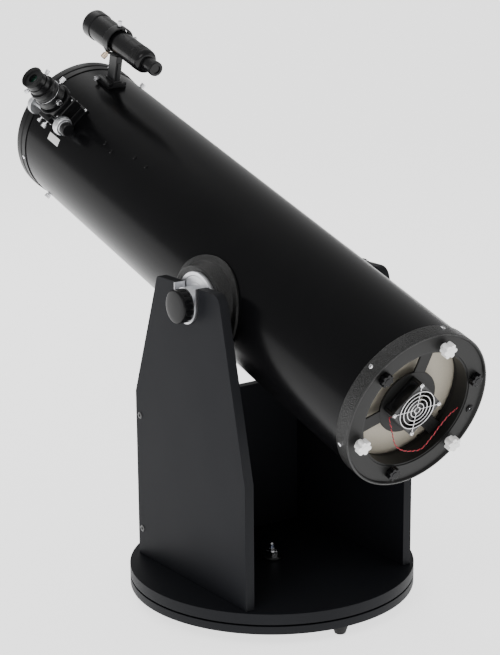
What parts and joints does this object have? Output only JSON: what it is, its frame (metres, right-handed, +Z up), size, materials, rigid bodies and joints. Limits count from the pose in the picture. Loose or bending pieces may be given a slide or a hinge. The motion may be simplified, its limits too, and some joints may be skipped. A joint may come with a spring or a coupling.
{
  "type": "dobsonian telescope",
  "caption": "Closed-tube Newtonian reflector on a low laminate rocker box, with a finder, a side focuser, round altitude bearings and a turntable base.",
  "frame": {"origin": "on the ground, on the azimuth axis, under the centre of the round base", "axes": "+Z up; +Y level, under the tube's sky end; +X to the right, along the altitude axis"},
  "size_m": [0.5683, 1.2567, 1.1152],
  "materials": {
    "laminate": "charcoal melamine laminate on chipboard, fine texture",
    "foot_rubber": "matt moulded rubber",
    "race_steel": "ground steel, lightly oiled",
    "cage_plastic": "natural nylon cage with needle rollers",
    "bolt_steel": "bright zinc plate",
    "black_screw": "black oxide",
    "cradle_steel": "bent stainless strip",
    "hub_aluminium": "turned, clear anodised",
    "hammered_casting": "hammered black enamel over cast metal",
    "knob_plastic": "moulded black plastic, fine grain",
    "tube_paint": "semi-gloss black over rolled steel",
    "ring_paint": "satin black powder coat",
    "small_chrome": "bright nickel plate",
    "black_metal": "flat black paint",
    "holder_plastic": "flat black",
    "mirror_glass": "aluminised face, ground beige back",
    "spring_steel": "zinc-plated spring wire",
    "white_plastic": "white moulded plastic",
    "fan_plastic": "black glass-filled plastic",
    "grille_chrome": "bright wire",
    "wire_sheath": "twisted red and black insulated pair",
    "socket_plastic": "black barrel socket",
    "anodised_black": "satin black anodised",
    "anodised_silver": "clear anodised, knurled rims",
    "eyepiece_black": "black anodised, chromed barrel",
    "eyecup_rubber": "soft black rubber",
    "finder_paint": "semi-gloss black",
    "lens_glass": "coated lens",
    "plunger_brass": "turned brass sleeve"
  },
  "bodies": {
    "ground": {"ground_board": "laminate", "feet": "foot_rubber", "azimuth_lower_race": "race_steel", "pivot_bolt": "bolt_steel"},
    "cage": {"azimuth_roller_cage": "cage_plastic"},
    "nut": {"pivot_nut": "bolt_steel"},
    "rocker": {"base_board": "laminate", "azimuth_upper_race": "race_steel", "left_panel": "laminate", "right_panel": "laminate", "front_brace": "laminate", "panel_screws": "black_screw", "cradles": "cradle_steel"},
    "hubs": {"left_bearing_hub": "hub_aluminium", "right_bearing_hub": "hub_aluminium"},
    "left_knob": {"left_altitude_knob": "knob_plastic"},
    "right_knob": {"right_altitude_knob": "knob_plastic"},
    "optical_tube": {"left_slide_housing": "hammered_casting", "right_slide_housing": "hammered_casting", "tube": "tube_paint", "front_ring": "ring_paint", "rear_ring": "hammered_casting", "fan_spider": "hammered_casting", "ring_screws": "small_chrome", "spider": "black_metal", "vane_nuts": "small_chrome", "secondary_holder": "holder_plastic", "secondary_mirror": "mirror_glass", "primary_mirror": "mirror_glass", "mirror_cell": "black_metal", "collimation_springs": "spring_steel", "fan_frame": "fan_plastic", "fan_grille": "grille_chrome", "fan_wire": "wire_sheath", "power_socket": "socket_plastic", "focuser_base": "anodised_black", "focuser_body": "anodised_black", "finder_shoe": "anodised_black"},
    "rotor": {"fan_rotor": "fan_plastic"},
    "focus_tube": {"drawtube": "anodised_black"},
    "coarse_knobs": {"focus_shaft": "anodised_silver"},
    "fine_focus": {"fine_knob": "anodised_black"},
    "adapter": {"eyepiece_adapter": "anodised_black"},
    "ocular": {"eyepiece": "eyepiece_black", "eyecup": "eyecup_rubber"},
    "clamp_screw": {"drawtube_clamp_screw": "small_chrome"},
    "lock_screw": {"focus_lock_screw": "small_chrome"},
    "finder": {"finder_tube": "finder_paint", "finder_lenses": "lens_glass", "finder_bracket": "anodised_black"},
    "aim_top": {"finder_top_screw": "small_chrome"},
    "aim_side": {"finder_side_screw": "small_chrome"},
    "aim_plunger": {"finder_plunger": "plunger_brass"},
    "shoe_screw": {"shoe_clamp_screw": "small_chrome"},
    "collimator_1": {"collimation_knob_1": "white_plastic"},
    "locker_1": {"lock_knob_1": "knob_plastic"},
    "collimator_2": {"collimation_knob_2": "white_plastic"},
    "locker_2": {"lock_knob_2": "knob_plastic"},
    "collimator_3": {"collimation_knob_3": "white_plastic"},
    "locker_3": {"lock_knob_3": "knob_plastic"}
  },
  "joints": [
    {"name": "azimuth", "type": "hinge", "parent": "ground", "child": "rocker", "pos_m": [0, 0, 0.0652], "axis": [0, 0, 1], "continuous": true},
    {"name": "azimuth_rollers", "type": "hinge", "parent": "ground", "child": "cage", "pos_m": [0, 0, 0.04185], "axis": [0, 0, 1], "continuous": true},
    {"name": "pivot_nut_turn", "type": "hinge", "parent": "ground", "child": "nut", "pos_m": [0, 0, 0.07], "axis": [0, 0, 1], "range_deg": [-30, 360]},
    {"name": "altitude", "type": "hinge", "parent": "rocker", "child": "hubs", "pos_m": [0, -0.0095, 0.61846], "axis": [1, 0, 0], "range_deg": [-17.9, 72.1]},
    {"name": "balance_slide", "type": "slide", "parent": "hubs", "child": "optical_tube", "axis": [0, 0.9516, 0.3074], "range_m": [-0.025, 0.025]},
    {"name": "left_altitude_knob_turn", "type": "hinge", "parent": "hubs", "child": "left_knob", "pos_m": [-0.217, -0.0095, 0.61846], "axis": [-1, 0, 0], "range_deg": [0, 360]},
    {"name": "right_altitude_knob_turn", "type": "hinge", "parent": "hubs", "child": "right_knob", "pos_m": [0.217, -0.0095, 0.61846], "axis": [1, 0, 0], "range_deg": [0, 360]},
    {"name": "fan_spin", "type": "hinge", "parent": "optical_tube", "child": "rotor", "pos_m": [0, -0.42154, 0.48538], "axis": [0, 0.9516, 0.3074], "continuous": true},
    {"name": "focus", "type": "slide", "parent": "optical_tube", "child": "focus_tube", "axis": [-0.7431, -0.2057, 0.6367], "range_m": [-0.005, 0.03]},
    {"name": "coarse_focus", "type": "hinge", "parent": "optical_tube", "child": "coarse_knobs", "pos_m": [-0.15276, 0.57181, 0.90748], "axis": [0, 0.9516, 0.3074], "range_deg": [-600, 120]},
    {"name": "fine_focus", "type": "hinge", "parent": "coarse_knobs", "child": "fine_focus", "pos_m": [-0.15276, 0.50329, 0.88535], "axis": [0, 0.9516, 0.3074], "range_deg": [-6000, 1200]},
    {"name": "adapter_slide", "type": "slide", "parent": "focus_tube", "child": "adapter", "axis": [-0.7431, -0.2057, 0.6367], "range_m": [0, 0.035]},
    {"name": "eyepiece_slide", "type": "slide", "parent": "adapter", "child": "ocular", "axis": [-0.7431, -0.2057, 0.6367], "range_m": [0, 0.035]},
    {"name": "drawtube_clamp_turn", "type": "hinge", "parent": "focus_tube", "child": "clamp_screw", "pos_m": [-0.13476, 0.54924, 0.97735], "axis": [0.6691, -0.2284, 0.7072], "range_deg": [0, 720]},
    {"name": "focus_lock_turn", "type": "hinge", "parent": "optical_tube", "child": "lock_screw", "pos_m": [-0.16574, 0.56767, 0.891], "axis": [-0.6691, 0.2284, -0.7072], "range_deg": [0, 720]},
    {"name": "finder_slide", "type": "slide", "parent": "optical_tube", "child": "finder", "axis": [0, -0.9516, -0.3074], "range_m": [0, 0.055]},
    {"name": "finder_top_screw_turn", "type": "hinge", "parent": "finder", "child": "aim_top", "pos_m": [-0.0103, 0.51271, 1.09695], "axis": [-0.0349, -0.3072, 0.951], "range_deg": [0, 1080]},
    {"name": "finder_side_screw_turn", "type": "hinge", "parent": "finder", "child": "aim_side", "pos_m": [0.03418, 0.52546, 1.05748], "axis": [0.9994, -0.0107, 0.0332], "range_deg": [0, 1080]},
    {"name": "finder_plunger_push", "type": "slide", "parent": "finder", "child": "aim_plunger", "axis": [-0.682, 0.2248, -0.696], "range_m": [-0.0025, 0.004], "stiffness_N_per_m": 800},
    {"name": "shoe_screw_turn", "type": "hinge", "parent": "optical_tube", "child": "shoe_screw", "pos_m": [-0.03056, 0.57637, 0.9747], "axis": [-0.9994, 0.0107, -0.0332], "range_deg": [0, 720]},
    {"name": "collimation_knob_1_turn", "type": "hinge", "parent": "optical_tube", "child": "collimator_1", "pos_m": [0.02461, -0.48615, 0.59758], "axis": [0, -0.9516, -0.3074], "range_deg": [-720, 720]},
    {"name": "collimation_knob_2_turn", "type": "hinge", "parent": "optical_tube", "child": "collimator_2", "pos_m": [-0.12197, -0.43433, 0.43711], "axis": [0, -0.9516, -0.3074], "range_deg": [-720, 720]},
    {"name": "collimation_knob_3_turn", "type": "hinge", "parent": "optical_tube", "child": "collimator_3", "pos_m": [0.09736, -0.42122, 0.39654], "axis": [0, -0.9516, -0.3074], "range_deg": [-720, 720]},
    {"name": "lock_knob_1_turn", "type": "hinge", "parent": "optical_tube", "child": "locker_1", "pos_m": [0.12197, -0.45538, 0.51858], "axis": [0, -0.9516, -0.3074], "range_deg": [0, 720]},
    {"name": "lock_knob_2_turn", "type": "hinge", "parent": "optical_tube", "child": "locker_2", "pos_m": [-0.09736, -0.46849, 0.55915], "axis": [0, -0.9516, -0.3074], "range_deg": [0, 720]},
    {"name": "lock_knob_3_turn", "type": "hinge", "parent": "optical_tube", "child": "locker_3", "pos_m": [-0.02461, -0.40355, 0.35811], "axis": [0, -0.9516, -0.3074], "range_deg": [0, 720]}
  ],
  "couplings": [
    {"joint": "azimuth_rollers", "follows": "azimuth", "ratio": 0.5},
    {"joint": "coarse_focus", "follows": "focus", "rad_per_m": -333.33},
    {"joint": "fine_focus", "follows": "focus", "rad_per_m": -3000}
  ]
}
